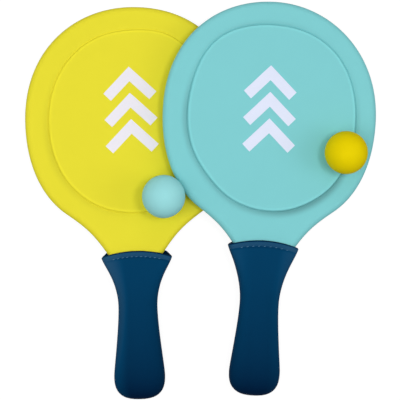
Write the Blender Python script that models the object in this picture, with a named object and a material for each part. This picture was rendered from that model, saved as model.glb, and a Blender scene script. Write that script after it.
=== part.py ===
"""Beach paddle ball set: two neoprene covered paddles and two rubber balls.

The set lies as it comes to rest. The yellow paddle lies flat on its back, the
aqua paddle lies with one side of its blade over it, and a ball lies on each
blade. Each paddle is a plywood board with a tang, two moulded neoprene skins
folded round its rim, two wooden cheeks glued on the tang, a sewn neoprene
sleeve over the handle and three printed chevrons.

Metres, +Z up. The faces with the chevrons look up, and the blades point to +Y.
A paddle's own frame has its origin at the middle of the blade's widest line,
+Y towards the tip and +Z out of the front face.
"""
import math

import bmesh
import bpy
import numpy as np
from mathutils import Matrix, Vector
from mathutils.bvhtree import BVHTree
from mathutils.geometry import interpolate_bezier

# Blade outline: drops are measured down from the widest line, slopes are in
# degrees from the paddle's axis, and the shoulder is where round turns hollow
BLADE_HALF_WIDTH = 0.1029
BLADE_CROWN = 0.1080
SHOULDER_HALF_WIDTH = 0.0650
SHOULDER_DROP = 0.0897
SHOULDER_SLOPE = 54.4
NECK_HALF_WIDTH = 0.0293
NECK_DROP = 0.1247
NECK_SLOPE = 35.0
NECK_TAIL = 0.0140

# How full each curve of the outline is, as a share of the run that it rounds
TIP_FULLNESS = 0.54
SIDE_FULLNESS = 0.64
FLANK_FULLNESS = 0.45
SHOULDER_FULLNESS = 0.33
THROAT_FULLNESS = 0.41

# Raised oval panel on each face
PANEL_HALF_WIDTH = 0.0805
PANEL_HALF_HEIGHT = 0.0873
PANEL_DROP = 0.0023
PANEL_SQUARENESS = 2.12
PANEL_RISE = 0.0013
PANEL_ROUNDING = 0.0012
PANEL_GROOVE = 0.0004

# The panel's corners, as shares of its rounding, and the rim's soft edge: how far in
# each ring lies, as a share of the fold, and how far down it lies, as a share of the
# drop from the rim's face to the seam
PANEL_EDGE_IN = 0.3
PANEL_EDGE_FALL = 0.25
PANEL_GROOVE_REACH = 3.0
RIM_EDGE = ((2.0, 0.03), (0.8, 0.18), (0.22, 0.48), (0.0, 0.80))
SEAM_TUCK = 0.10

# Board and skins, through the thickness
BOARD_THICKNESS = 0.0050
SKIN_THICKNESS = 0.0026
SKIN_FOLD = 0.0030
RIM_CROWN = 0.0003
SEAT = 0.0003

# Handle, at its mouth, its waist and its bulb
MOUTH_EASE = 0.0022
MOUTH_RISE = 0.0057
MOUTH_FADE = 0.0120
WAIST_DROP = 0.1790
WAIST_HALF_WIDTH = 0.0188
WAIST_HALF_DEPTH = 0.0125
BULB_BELOW_WAIST = 0.0655
BULB_HALF_WIDTH = 0.0245
BULB_HALF_DEPTH = 0.0145
END_BELOW_BULB = 0.0227
END_SQUARENESS = 2.7
MOUTH_SQUARENESS = 5.0
GRIP_SQUARENESS = 2.3
SLEEVE_WALL = 0.0026
HEM_WIDTH = 0.0075
HEM_RISE = 0.0005

# Arms of the handle's long curves, as shares of the run from mouth to waist and from
# waist to bulb; the first of the mouth's is along, the second across
MOUTH_ARM_ALONG = 0.30
MOUTH_ARM_ACROSS = 0.28
WAIST_ARM_UP = 0.45
WAIST_ARM_DOWN = 0.33
BULB_ARM = 0.10
HANDLE_STEPS = 16

# Stations round the handle's closed end, as shares of its length, on the sleeve's
# inside and outside
CAVITY_CAP = (0.0, 0.3, 0.55, 0.76, 0.94)
SLEEVE_CAP = (0.35, 0.62, 0.82, 0.94)
CAVITY_MOUTH_STATIONS = 3
CAVITY_FLARE_STATIONS = 4
GRIP_STATIONS = 5

# Tang and cheeks inside the handle
TANG_HALF_WIDTH = 0.0132
TANG_END_GAP = 0.0040
CHEEK_GAP = 0.0030
CHEEK_EASE = 0.0005

# Printed chevrons
CHEVRON_COUNT = 3
CHEVRON_ARM = 0.0355
CHEVRON_BAND = 0.0100
CHEVRON_HALF_ANGLE = 45.5
CHEVRON_PITCH = 0.0251
PRINT_FILM = 0.0003

BALL_RADIUS = 0.0203

# Where the pieces lie. A lean is the paddle's turn to the right, seen from above.
# Each crown is a little fuller on one side: what its left and right fullness gain.
# A handle sits a little off the blade's axis: its shift across and its turn at the neck.
# A panel's place is its shift across. A print's place is its middle point, across and
# along, and its turn in degrees.
YELLOW_X = -0.0648
YELLOW_Y = 0.0771
YELLOW_LEAN = -1.35
YELLOW_FULLNESS = (-0.008, 0.026)
YELLOW_HANDLE = (0.0012, -0.1)
YELLOW_MOUTH_DROP = 0.1259
YELLOW_PANEL_X = 0.0007
YELLOW_PRINT = (-0.0016, 0.0249, 1.25)
AQUA_X = 0.0668
AQUA_Y = 0.0803
AQUA_LEAN = 2.3
AQUA_FULLNESS = (0.008, -0.026)
AQUA_HANDLE = (-0.0014, 1.6)
AQUA_MOUTH_DROP = 0.1189
AQUA_PANEL_X = 0.0013
AQUA_PRINT = (-0.0022, 0.0220, 0.7)

# Balls, across and along from the middle of the blade that carries each, as shares of
# the blade's half width
AQUA_BALL_SHARES = (0.325, -0.700)
YELLOW_BALL_SHARES = (0.670, -0.318)

# Facet counts
CROWN_STEPS = 12
FLANK_STEPS = 6
THROAT_STEPS = 9
SECTION_STEPS = 24
CHEEK_STEPS = 12
BALL_SEGMENTS = 24
BALL_RINGS = 14

# Edges sharper than this are not shaded round, in degrees
SHARP_ANGLE = 35

# Search for each resting place: the turns tried, in degrees, and the number of steps
PITCH_RANGE = (-5.0, 8.0)
ROLL_RANGE = (0.0, 20.0)
HALVINGS = 40
BALL_MOVES = 60

# Colours and roughness of the materials
YELLOW = (0.822, 0.745, 0.032)
AQUA = (0.220, 0.625, 0.650)
NAVY = (0.003, 0.041, 0.105)
WHITE = (0.80, 0.79, 0.88)
BALL_YELLOW = (0.790, 0.617, 0.002)
BALL_AQUA = (0.265, 0.640, 0.660)
PLYWOOD = (0.62, 0.44, 0.26)
CHEEK_WOOD = (0.55, 0.37, 0.20)
SKIN_ROUGHNESS = 0.65
SLEEVE_ROUGHNESS = 0.75
PRINT_ROUGHNESS = 0.45
RUBBER_ROUGHNESS = 0.45
WOOD_ROUGHNESS = 0.60

# Heights of the faces above the board's middle plane
BOARD_TOP = BOARD_THICKNESS / 2
SKIN_UNDER = BOARD_TOP + SEAT
RIM_TOP = SKIN_UNDER + SKIN_THICKNESS
PANEL_TOP = RIM_TOP + PANEL_RISE

# Handle's lengthwise stations
BULB_DROP = WAIST_DROP + BULB_BELOW_WAIST
END_DROP = BULB_DROP + END_BELOW_BULB
SKIN_END_DROP = NECK_DROP + NECK_TAIL
CHEEK_START_DROP = SKIN_END_DROP + CHEEK_GAP
TANG_END_DROP = END_DROP - SLEEVE_WALL - TANG_END_GAP
MOUTH_HALF_WIDTH = NECK_HALF_WIDTH + MOUTH_EASE + SLEEVE_WALL
MOUTH_HALF_DEPTH = RIM_TOP + RIM_CROWN + SEAT + SLEEVE_WALL


def clear_scene():
    for old in list(bpy.data.objects):
        bpy.data.objects.remove(old, do_unlink=True)


def make_material(name, color, roughness):
    material = bpy.data.materials.new(name)
    material.use_nodes = True
    shader = material.node_tree.nodes["Principled BSDF"]
    shader.inputs["Base Color"].default_value = (*color, 1.0)
    shader.inputs["Roughness"].default_value = roughness
    shader.inputs["Metallic"].default_value = 0.0
    material.diffuse_color = (*color, 1.0)
    return material


def add_piece(name, form, material, parent=None):
    """Turn a closed bmesh into the named object of one sub-part."""
    bmesh.ops.recalc_face_normals(form, faces=form.faces)
    mesh = bpy.data.meshes.new(name)
    form.to_mesh(mesh)
    form.free()
    mesh.materials.append(material)
    mesh.shade_smooth()
    mesh.set_sharp_from_angle(angle=math.radians(SHARP_ANGLE))
    piece = bpy.data.objects.new(name, mesh)
    bpy.context.collection.objects.link(piece)
    piece.parent = parent
    return piece


def join_rings(form, near, far):
    """A band of faces between two rings of corners."""
    count = len(near)
    for index in range(count):
        beside = (index + 1) % count
        form.faces.new((near[index], near[beside], far[beside], far[index]))


def add_rings(form, rings):
    """A skin of faces through rings of as many points each, open at both ends."""
    loops = [[form.verts.new(point) for point in ring] for ring in rings]
    for near, far in zip(loops, loops[1:]):
        join_rings(form, near, far)
    return loops


def loft(rings):
    """Closed bmesh through rings of as many points each, with flat ends."""
    form = bmesh.new()
    loops = add_rings(form, rings)
    form.faces.new(loops[0])
    form.faces.new(loops[-1])
    return form


def prism(outline, bottom, top):
    """Flat outline raised between two heights."""
    return loft([[(x, y, height) for x, y in outline] for height in (bottom, top)])


def curve_run(start, leave, arrive, end, steps):
    """Points of one Bezier stretch after its start; leave and arrive are its arms."""
    return interpolate_bezier(start, start + leave, end + arrive, end, steps + 1)[1:]


def blade_side(gain):
    """The blade's outline on its right, from the tip to the flat cut below the neck."""
    tip = Vector((0.0, BLADE_CROWN))
    side = Vector((BLADE_HALF_WIDTH, 0.0))
    shoulder = Vector((SHOULDER_HALF_WIDTH, -SHOULDER_DROP))
    neck = Vector((NECK_HALF_WIDTH, -NECK_DROP))
    slope = math.radians(SHOULDER_SLOPE)
    neck_slope = math.radians(NECK_SLOPE)
    past_shoulder = Vector((-math.sin(slope), -math.cos(slope)))
    past_neck = Vector((-math.sin(neck_slope), -math.cos(neck_slope)))
    throat = (neck - shoulder).length * THROAT_FULLNESS
    crown = curve_run(
        tip, Vector((BLADE_HALF_WIDTH * (TIP_FULLNESS + gain), 0.0)),
        Vector((0.0, BLADE_CROWN * (SIDE_FULLNESS + gain))), side, CROWN_STEPS)
    flank = curve_run(
        side, Vector((0.0, -SHOULDER_DROP * FLANK_FULLNESS)),
        past_shoulder * (-SHOULDER_DROP * SHOULDER_FULLNESS), shoulder, FLANK_STEPS)
    hollow = curve_run(
        shoulder, past_shoulder * throat, past_neck * -throat, neck, THROAT_STEPS)
    cut = neck + past_neck * (NECK_TAIL / math.cos(neck_slope))
    return [tip, *crown, *flank, *hollow, cut]


def blade_outline(fullness):
    """The blade's closed outline, anticlockwise from its tip."""
    left, right = (blade_side(gain) for gain in fullness)
    left = [Vector((-point.x, point.y)) for point in left]
    return [*left, *reversed(right[1:])]


def inset(outline, distance):
    """A closed outline with every side moved inwards by one distance."""
    moved = []
    count = len(outline)
    for index, point in enumerate(outline):
        before = (point - outline[index - 1]).normalized()
        after = (outline[(index + 1) % count] - point).normalized()
        inward = Vector((-before.y - after.y, before.x + after.x)).normalized()
        spread = inward.dot(Vector((-before.y, before.x)))
        moved.append(point + inward * (distance / spread))
    return moved


def panel_outline(around, panel_x):
    """The panel's oval, one point on the line from its middle to each point given."""
    middle = Vector((panel_x, -PANEL_DROP))
    points = []
    for point in around:
        way = (point - middle).normalized()
        across = (abs(way.x) / PANEL_HALF_WIDTH) ** PANEL_SQUARENESS
        along = (abs(way.y) / PANEL_HALF_HEIGHT) ** PANEL_SQUARENESS
        points.append(middle + way / (across + along) ** (1.0 / PANEL_SQUARENESS))
    return points


def handle_turn(shift, turn):
    """The handle's small shift and turn against the blade, about the neck."""
    neck = Matrix.Translation((shift, -NECK_DROP, 0.0))
    return neck @ Matrix.Rotation(-math.radians(turn), 4, "Z") @ Matrix.Translation(
        (0.0, NECK_DROP, 0.0))


def board_outline(handle, fullness):
    """The board: the blade's outline inside the skins' fold, then the tang."""
    rim = inset(blade_outline(fullness), SKIN_FOLD)
    half = (len(rim) - 1) // 2
    left = rim[:half]
    right = rim[half + 2:]
    drop_step = (left[-1] - left[-2]).normalized()
    root = left[-1] + drop_step * ((-TANG_HALF_WIDTH - left[-1].x) / drop_step.x)
    corner = TANG_HALF_WIDTH / 2
    tang = [
        root,
        Vector((-TANG_HALF_WIDTH, -TANG_END_DROP + corner)),
        Vector((-TANG_HALF_WIDTH + corner, -TANG_END_DROP)),
    ]
    tang += [Vector((-point.x, point.y)) for point in reversed(tang)]
    tang = [(handle @ point.to_3d()).to_2d() for point in tang]
    return [*left, *tang, *right]


def skin_form(side, panel_x, fullness):
    """One moulded skin: panel, groove, rim and the fold down to the seam at mid edge."""
    rim = blade_outline(fullness)
    panel = panel_outline(rim, panel_x)
    inner = inset(panel, -PANEL_ROUNDING * PANEL_GROOVE_REACH)
    seam = SEAT / 2
    fall = RIM_TOP - seam
    edge = [(inset(rim, SKIN_FOLD * far), RIM_TOP - fall * down) for far, down in RIM_EDGE]
    middle = [(near + far) / 2 for near, far in zip(inner, edge[0][0])]
    levels = [
        (inset(panel, PANEL_ROUNDING), PANEL_TOP),
        (inset(panel, PANEL_ROUNDING * PANEL_EDGE_IN), PANEL_TOP - PANEL_RISE * PANEL_EDGE_FALL),
        (panel, RIM_TOP - PANEL_GROOVE),
        (inset(panel, -PANEL_ROUNDING), RIM_TOP - PANEL_GROOVE),
        (inner, RIM_TOP),
        (middle, RIM_TOP + RIM_CROWN),
        *edge,
        (inset(rim, SKIN_FOLD * SEAM_TUCK), seam),
    ]
    form = loft([[(x, y, side * height) for x, y in ring] for ring, height in levels])
    bmesh.ops.recalc_face_normals(form, faces=form.faces)
    return form


def cut_pocket(skin, cutter):
    """Hollow a skin where the board lies in it."""
    cut = skin.modifiers.new("board_pocket", "BOOLEAN")
    cut.operation = "DIFFERENCE"
    cut.solver = "EXACT"
    cut.object = cutter


def handle_size(drop, mouth_drop, sizes, inwards):
    """Half a width or depth of the sleeve at one drop, moved inwards by a wall."""
    mouth, waist, bulb = (size - inwards for size in sizes)
    bulb_cap = END_BELOW_BULB - inwards
    if drop > BULB_DROP:
        share = min((drop - BULB_DROP) / bulb_cap, 1.0)
        return bulb * (1.0 - share ** END_SQUARENESS) ** (1.0 / END_SQUARENESS)
    flare = WAIST_DROP - mouth_drop
    spread = curve_run(
        Vector((mouth_drop, mouth)),
        Vector((flare * MOUTH_ARM_ALONG, (waist - mouth) * MOUTH_ARM_ACROSS)),
        Vector((-flare * WAIST_ARM_UP, 0.0)), Vector((WAIST_DROP, waist)), HANDLE_STEPS)
    swell = curve_run(
        Vector((WAIST_DROP, waist)), Vector((BULB_BELOW_WAIST * WAIST_ARM_DOWN, 0.0)),
        Vector((-BULB_BELOW_WAIST * BULB_ARM, 0.0)), Vector((BULB_DROP, bulb)), HANDLE_STEPS)
    path = [Vector((mouth_drop, mouth)), *spread, *swell]
    return float(np.interp(drop, [point.x for point in path], [point.y for point in path]))


def handle_squareness(drop, mouth_drop):
    """Power of the rounded section: nearly a box at the mouth, oval at the grip."""
    share = min(max((drop - mouth_drop) / (WAIST_DROP - mouth_drop), 0.0), 1.0)
    ease = share * share * (3.0 - 2.0 * share)
    return MOUTH_SQUARENESS + (GRIP_SQUARENESS - MOUTH_SQUARENESS) * ease


def section_point(angle, half_width, half_depth, power):
    """A point of the rounded section, in the plane across the handle."""
    across = math.cos(angle)
    deep = math.sin(angle)
    reach = (abs(across) ** power + abs(deep) ** power) ** (-1.0 / power)
    return half_width * across * reach, half_depth * deep * reach


def sleeve_ring(drop, mouth_drop, inwards, proud=0.0):
    """One ring of the sleeve; close to the mouth its middle rises with the hem's curve."""
    base = mouth_drop + MOUTH_RISE
    widths = (MOUTH_HALF_WIDTH, WAIST_HALF_WIDTH, BULB_HALF_WIDTH)
    depths = (MOUTH_HALF_DEPTH, WAIST_HALF_DEPTH, BULB_HALF_DEPTH)
    half_width = handle_size(drop, base, widths, inwards) + proud
    half_depth = handle_size(drop, base, depths, inwards) + proud
    power = handle_squareness(drop, base)
    fade = max(1.0 - (drop - base) / MOUTH_FADE, 0.0)
    ring = []
    for step in range(SECTION_STEPS):
        angle = 2 * math.pi * step / SECTION_STEPS
        x, z = section_point(angle, half_width, half_depth, power)
        lift = MOUTH_RISE * fade * max(1.0 - (x / MOUTH_HALF_WIDTH) ** 2, 0.0)
        ring.append((x, lift - drop, z))
    return ring


def cavity_drops(mouth_drop):
    """Stations of the sleeve's inside, from the mouth to the closed end."""
    base = mouth_drop + MOUTH_RISE
    flare = WAIST_DROP - CHEEK_START_DROP
    drops = [
        base + (CHEEK_START_DROP - base) * step / CAVITY_MOUTH_STATIONS
        for step in range(CAVITY_MOUTH_STATIONS)]
    drops += [
        CHEEK_START_DROP + flare * step / CAVITY_FLARE_STATIONS
        for step in range(CAVITY_FLARE_STATIONS)]
    drops += [
        WAIST_DROP + BULB_BELOW_WAIST * step / GRIP_STATIONS for step in range(GRIP_STATIONS)]
    cap = END_BELOW_BULB - SLEEVE_WALL
    drops += [BULB_DROP + cap * share for share in CAVITY_CAP]
    return drops


def sleeve_form(mouth_drop):
    """The sewn sleeve: hemmed flared mouth, waist, bulb and closed round end."""
    base = mouth_drop + MOUTH_RISE
    lip = HEM_RISE
    outside = [
        sleeve_ring(base + lip, mouth_drop, 0.0, HEM_RISE),
        sleeve_ring(base + HEM_WIDTH - lip, mouth_drop, 0.0, HEM_RISE),
        sleeve_ring(base + HEM_WIDTH, mouth_drop, 0.0),
    ]
    flare = WAIST_DROP - base - HEM_WIDTH
    for step in range(1, GRIP_STATIONS + 1):
        drop = base + HEM_WIDTH + flare * step / GRIP_STATIONS
        outside.append(sleeve_ring(drop, mouth_drop, 0.0))
    for step in range(1, GRIP_STATIONS + 1):
        drop = WAIST_DROP + BULB_BELOW_WAIST * step / GRIP_STATIONS
        outside.append(sleeve_ring(drop, mouth_drop, 0.0))
    for share in SLEEVE_CAP:
        outside.append(sleeve_ring(BULB_DROP + END_BELOW_BULB * share, mouth_drop, 0.0))
    inside = [
        sleeve_ring(drop, mouth_drop, SLEEVE_WALL) for drop in cavity_drops(mouth_drop)]
    form = bmesh.new()
    outer_loops = add_rings(form, outside)
    inner_loops = add_rings(form, inside)
    form.faces.new(outer_loops[-1])
    form.faces.new(inner_loops[-1])
    join_rings(form, outer_loops[0], inner_loops[0])
    return form


def cheek_form(mouth_drop, side):
    """Half-round wooden cheek that fills the sleeve on one face of the tang."""
    base = mouth_drop + MOUTH_RISE
    widths = (MOUTH_HALF_WIDTH, WAIST_HALF_WIDTH, BULB_HALF_WIDTH)
    depths = (MOUTH_HALF_DEPTH, WAIST_HALF_DEPTH, BULB_HALF_DEPTH)
    inwards = SLEEVE_WALL + CHEEK_EASE
    floor = BOARD_TOP + SEAT
    rings = []
    for drop in cavity_drops(mouth_drop):
        if not CHEEK_START_DROP <= drop < TANG_END_DROP:
            continue
        half_width = handle_size(drop, base, widths, inwards)
        half_depth = handle_size(drop, base, depths, inwards)
        power = handle_squareness(drop, base)
        edge = (1.0 - (floor / half_depth) ** power) ** (1.0 / power)
        first = math.atan2(floor / half_depth, edge)
        ring = []
        for step in range(CHEEK_STEPS + 1):
            angle = first + (math.pi - 2 * first) * step / CHEEK_STEPS
            x, z = section_point(angle, half_width, half_depth, power)
            ring.append((x, -drop, side * z))
        rings.append(ring)
    return loft(rings)


def chevron_form(place_x, place_y, turn, number):
    """One chevron of print film; the middle one's point is at the place given."""
    half_angle = math.radians(CHEVRON_HALF_ANGLE)
    reach = CHEVRON_ARM * math.sin(half_angle)
    fall = CHEVRON_ARM * math.cos(half_angle)
    in_x = CHEVRON_BAND * math.cos(half_angle)
    in_y = CHEVRON_BAND * math.sin(half_angle)
    hollow = CHEVRON_BAND / math.sin(half_angle)
    lift = CHEVRON_PITCH * ((CHEVRON_COUNT - 1) / 2 - number)
    shape = [
        (0.0, 0.0),
        (-reach, -fall),
        (in_x - reach, -fall - in_y),
        (0.0, -hollow),
        (reach - in_x, -fall - in_y),
        (reach, -fall),
    ]
    turned = Matrix.Rotation(math.radians(turn), 2)
    bottom = PANEL_TOP + SEAT
    corners = [turned @ Vector((x, y + lift)) for x, y in shape]
    return prism([(place_x + corner.x, place_y + corner.y) for corner in corners],
                 bottom, bottom + PRINT_FILM)


def on_handle(form, handle):
    """A piece of the handle, moved to where the handle sits against the blade."""
    bmesh.ops.transform(form, matrix=handle, verts=form.verts)
    return form


def make_paddle(color_name, skin_material, materials, mouth_drop, handle, fullness, panel_x,
                printed):
    """All the pieces of one paddle, parented to the empty that places it."""
    frame = bpy.data.objects.new(color_name + "_paddle_frame", None)
    bpy.context.collection.objects.link(frame)
    outline = board_outline(handle, fullness)
    add_piece(color_name + "_core_board", prism(outline, -BOARD_TOP, BOARD_TOP),
              materials["plywood"], frame)
    grown = inset(outline, -SEAT)
    pocket = add_piece(
        color_name + "_pocket_cutter", prism(grown, -SKIN_UNDER, SKIN_UNDER),
        materials["plywood"], frame)
    pocket.hide_render = True
    pocket.display_type = "WIRE"
    front = add_piece(
        color_name + "_front_skin", skin_form(1, panel_x, fullness), skin_material, frame)
    back = add_piece(
        color_name + "_back_skin", skin_form(-1, panel_x, fullness), skin_material, frame)
    cut_pocket(front, pocket)
    cut_pocket(back, pocket)
    add_piece(color_name + "_front_cheek", on_handle(cheek_form(mouth_drop, 1), handle),
              materials["cheek_wood"], frame)
    add_piece(color_name + "_back_cheek", on_handle(cheek_form(mouth_drop, -1), handle),
              materials["cheek_wood"], frame)
    sleeve = add_piece(
        color_name + "_handle_sleeve", on_handle(sleeve_form(mouth_drop), handle),
        materials["navy"], frame)
    for number in range(CHEVRON_COUNT):
        add_piece(f"{color_name}_chevron_{number + 1}", chevron_form(*printed, number),
                  materials["print_white"], frame)
    return {"frame": frame, "front": front, "back": back, "sleeve": sleeve}


def posture(lean, roll, pitch):
    """A paddle's turn: pitch lifts the handle, roll lifts the left edge, lean turns it."""
    return (Matrix.Rotation(-math.radians(lean), 4, "Z")
            @ Matrix.Rotation(math.radians(roll), 4, "Y")
            @ Matrix.Rotation(-math.radians(pitch), 4, "X"))


def points_of(piece):
    return np.array([vertex.co[:] for vertex in piece.data.vertices])


def lowest(points, turn):
    return float((points @ np.array(turn[2][:3])).min())


def floor_posture(paddle, lean, roll):
    """The turn and height at which blade and bulb both touch the floor."""
    blade = points_of(paddle["back"])
    sleeve = points_of(paddle["sleeve"])
    low, high = PITCH_RANGE
    for _ in range(HALVINGS):
        pitch = (low + high) / 2
        turn = posture(lean, roll, pitch)
        if lowest(sleeve, turn) > lowest(blade, turn):
            high = pitch
        else:
            low = pitch
    return turn, -min(lowest(sleeve, turn), lowest(blade, turn))


def surface_of(pieces, matrix):
    """The pieces' faces in the set's frame, ready for distance questions."""
    corners = []
    faces = []
    for piece in pieces:
        start = len(corners)
        corners += [matrix @ vertex.co for vertex in piece.data.vertices]
        faces += [[start + corner for corner in face.vertices] for face in piece.data.polygons]
    return corners, BVHTree.FromPolygons(corners, faces)


def height_between(upper, lower):
    """Smallest upright distance from the upper surface down to the lower one."""
    upper_corners, upper_tree = upper
    lower_corners, lower_tree = lower
    far = 1.0
    gaps = []
    for corner in upper_corners:
        hit = lower_tree.ray_cast(Vector((corner.x, corner.y, far)), Vector((0, 0, -1)))
        if hit[0] is not None:
            gaps.append(corner.z - hit[0].z)
    for corner in lower_corners:
        hit = upper_tree.ray_cast(Vector((corner.x, corner.y, -far)), Vector((0, 0, 1)))
        if hit[0] is not None:
            gaps.append(hit[0].z - corner.z)
    return min(gaps, default=far)


def lay_lower(paddle, place_x, place_y, lean):
    """Lay a paddle flat on its back."""
    turn, height = floor_posture(paddle, lean, 0.0)
    paddle["frame"].matrix_world = Matrix.Translation((place_x, place_y, height)) @ turn


def lay_over(paddle, under, place_x, place_y, lean):
    """Lay a paddle on the floor with its left side resting on the one below."""
    lower = surface_of([under["front"]], under["frame"].matrix_world)
    low, high = ROLL_RANGE
    for _ in range(HALVINGS):
        roll = (low + high) / 2
        turn, height = floor_posture(paddle, lean, roll)
        matrix = Matrix.Translation((place_x, place_y, height)) @ turn
        if height_between(surface_of([paddle["back"]], matrix), lower) > SEAT:
            high = roll
        else:
            low = roll
    paddle["frame"].matrix_world = matrix


def drop_ball(name, material, carrier, neighbour, place):
    """Lay a ball on one blade, moved aside where it would reach into the other."""
    form = bmesh.new()
    bmesh.ops.create_uvsphere(
        form, u_segments=BALL_SEGMENTS, v_segments=BALL_RINGS, radius=BALL_RADIUS)
    ball = add_piece(name, form, material)
    seat_tree = surface_of([carrier["front"]], carrier["frame"].matrix_world)[1]
    beside = [neighbour["front"], neighbour["back"]]
    side_tree = surface_of(beside, neighbour["frame"].matrix_world)[1]
    reach = BALL_RADIUS + SEAT
    across, along = place
    centre = carrier["frame"].matrix_world @ Vector(
        (across * BLADE_HALF_WIDTH, along * BLADE_HALF_WIDTH, PANEL_TOP + reach))
    for _ in range(BALL_MOVES):
        gap = seat_tree.find_nearest(centre)[3] - reach
        centre.z -= gap
        near, _, _, distance = side_tree.find_nearest(centre)
        if distance < reach:
            away = centre - near
            away.z = 0.0
            centre += away.normalized() * (reach - distance)
    ball.location = centre
    return ball


def centre_set(frames, pieces):
    """Move everything so that the set's box stands centred on the origin."""
    bpy.context.view_layer.update()
    corners = np.array([
        (piece.matrix_world @ vertex.co)[:]
        for piece in pieces for vertex in piece.data.vertices])
    low = corners.min(axis=0)
    high = corners.max(axis=0)
    shift = Vector((-(low[0] + high[0]) / 2, -(low[1] + high[1]) / 2, -low[2]))
    for frame in frames:
        frame.location += shift


clear_scene()
materials = {
    "plywood": make_material("plywood", PLYWOOD, WOOD_ROUGHNESS),
    "cheek_wood": make_material("cheek_wood", CHEEK_WOOD, WOOD_ROUGHNESS),
    "navy": make_material("navy_neoprene", NAVY, SLEEVE_ROUGHNESS),
    "print_white": make_material("print_white", WHITE, PRINT_ROUGHNESS),
}
yellow_neoprene = make_material("yellow_neoprene", YELLOW, SKIN_ROUGHNESS)
aqua_neoprene = make_material("aqua_neoprene", AQUA, SKIN_ROUGHNESS)
yellow = make_paddle(
    "yellow", yellow_neoprene, materials, YELLOW_MOUTH_DROP, handle_turn(*YELLOW_HANDLE),
    YELLOW_FULLNESS, YELLOW_PANEL_X, YELLOW_PRINT)
aqua = make_paddle(
    "aqua", aqua_neoprene, materials, AQUA_MOUTH_DROP, handle_turn(*AQUA_HANDLE),
    AQUA_FULLNESS, AQUA_PANEL_X, AQUA_PRINT)
lay_lower(yellow, YELLOW_X, YELLOW_Y, YELLOW_LEAN)
bpy.context.view_layer.update()
lay_over(aqua, yellow, AQUA_X, AQUA_Y, AQUA_LEAN)
bpy.context.view_layer.update()
aqua_ball = drop_ball(
    "aqua_ball", make_material("aqua_rubber", BALL_AQUA, RUBBER_ROUGHNESS),
    yellow, aqua, AQUA_BALL_SHARES)
yellow_ball = drop_ball(
    "yellow_ball", make_material("yellow_rubber", BALL_YELLOW, RUBBER_ROUGHNESS),
    aqua, yellow, YELLOW_BALL_SHARES)
outer_pieces = [
    yellow["front"], yellow["back"], yellow["sleeve"],
    aqua["front"], aqua["back"], aqua["sleeve"], aqua_ball, yellow_ball,
]
centre_set([yellow["frame"], aqua["frame"], aqua_ball, yellow_ball], outer_pieces)
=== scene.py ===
"""Beach paddle ball set: two neoprene covered paddles and two rubber balls.

Metres, +Z up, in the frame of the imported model. The camera looks straight down.
A paddle's own axes have their origin at the middle of the blade's widest line,
+Y towards the tip and +Z out of the face with the chevrons.
"""

import math

import bmesh
import bpy
from mathutils import Euler, Matrix, Vector, noise
from mathutils.geometry import interpolate_bezier


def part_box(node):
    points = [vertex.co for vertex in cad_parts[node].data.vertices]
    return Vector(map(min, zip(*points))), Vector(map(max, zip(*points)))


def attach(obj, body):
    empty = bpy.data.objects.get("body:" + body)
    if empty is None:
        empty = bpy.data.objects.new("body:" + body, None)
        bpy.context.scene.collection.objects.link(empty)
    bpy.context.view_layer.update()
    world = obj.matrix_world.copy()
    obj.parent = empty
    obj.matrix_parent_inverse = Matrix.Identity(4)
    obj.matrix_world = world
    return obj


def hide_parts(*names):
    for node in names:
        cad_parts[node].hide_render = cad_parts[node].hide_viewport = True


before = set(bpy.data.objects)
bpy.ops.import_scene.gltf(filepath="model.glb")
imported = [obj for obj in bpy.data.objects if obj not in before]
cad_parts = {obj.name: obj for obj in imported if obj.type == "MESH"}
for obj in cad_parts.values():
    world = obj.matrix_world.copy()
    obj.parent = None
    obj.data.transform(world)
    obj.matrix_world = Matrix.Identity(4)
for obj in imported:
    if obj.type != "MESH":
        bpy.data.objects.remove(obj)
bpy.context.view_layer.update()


# Core boards and cheeks. Each paddle is stiffened by a birch plywood board whose
# tang runs down the handle, with a beech cheek glued on each face of the tang.
# They are sawn, sanded and closed in by the neoprene, so nothing of them shows.
PLY_PALE = (0.66, 0.48, 0.30)
PLY_DARK = (0.52, 0.34, 0.18)
BEECH_PALE = (0.58, 0.39, 0.23)
BEECH_DARK = (0.43, 0.26, 0.13)
GRAIN_ACROSS = 240.0
GRAIN_ALONG = 9.0
GRAIN_DEPTH = 0.0002
WOOD_CLOUDS = 18.0


class Wire:
    """An output in a material's tree, so that sums and products read as plain maths."""

    def __init__(self, tree, socket=None):
        self.tree = tree
        self.socket = socket

    def node(self, kind, settings, inputs, output=0):
        """Add a node: its settings first, then the value or the wire of each input."""
        made = self.tree.nodes.new(kind)
        for name, value in settings.items():
            setattr(made, name, value)
        for name, value in inputs.items():
            if isinstance(value, Wire):
                self.tree.links.new(value.socket, made.inputs[name])
            else:
                made.inputs[name].default_value = value
        return Wire(self.tree, made.outputs[output])

    def math(self, operation, *values):
        """Add a maths node that works on values or wires."""
        inputs = dict(enumerate(values))
        return self.node("ShaderNodeMath", {"operation": operation}, inputs)

    def __add__(self, other):
        return self.math("ADD", self, other)

    def __radd__(self, other):
        return self.math("ADD", other, self)

    def __sub__(self, other):
        return self.math("SUBTRACT", self, other)

    def __rsub__(self, other):
        return self.math("SUBTRACT", other, self)

    def __mul__(self, other):
        return self.math("MULTIPLY", self, other)

    def __rmul__(self, other):
        return self.math("MULTIPLY", other, self)

    def __abs__(self):
        return self.math("ABSOLUTE", self)


def new_finish(name):
    """An empty material: itself, the start of its tree and its shader."""
    material = bpy.data.materials.new(name)
    material.use_nodes = True
    shader = material.node_tree.nodes["Principled BSDF"]
    return material, Wire(material.node_tree), shader


def feed(shader, **inputs):
    """Set or wire the shader's sockets; a name's underscores stand for spaces."""
    for name, value in inputs.items():
        socket = shader.inputs[name.replace("_", " ")]
        if isinstance(value, Wire):
            value.tree.links.new(value.socket, socket)
        else:
            socket.default_value = value


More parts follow.
